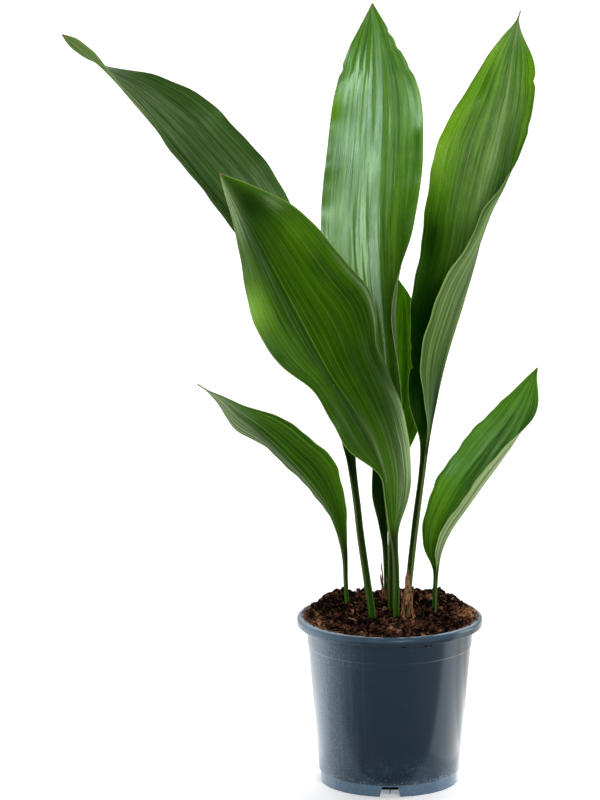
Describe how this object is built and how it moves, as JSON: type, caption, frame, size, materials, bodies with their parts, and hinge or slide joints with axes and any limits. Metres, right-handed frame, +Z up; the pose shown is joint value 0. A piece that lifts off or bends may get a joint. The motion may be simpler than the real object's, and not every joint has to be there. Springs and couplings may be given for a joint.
{
  "type": "potted cast iron plant",
  "caption": "Strap-leaved house plant in a tapered plastic grower's pot: broad pointed leaves on slim channelled stems rise from dark soil, some wrapped at the foot in dry papery scale leaves.",
  "frame": {"origin": "bottom centre of the whole object's box, on the surface that the pot stands on", "axes": "+Z up along the pot's axis, -Y towards the side that the leaves face, +X to the right seen from there"},
  "size_m": [0.3576, 0.1894, 0.5772],
  "materials": {
    "pot": "satin",
    "soil": "matte",
    "leaf": "satin",
    "sheath": "matte"
  },
  "bodies": {
    "root": {"pot": "pot", "soil": "soil", "leaf_rear_left": "leaf", "leaf_front": "leaf", "leaf_top": "leaf", "leaf_back": "leaf", "leaf_right": "leaf", "leaf_low_left": "leaf", "leaf_low_right": "leaf", "sheath_right": "sheath", "sheath_back": "sheath"}
  },
  "joints": []
}
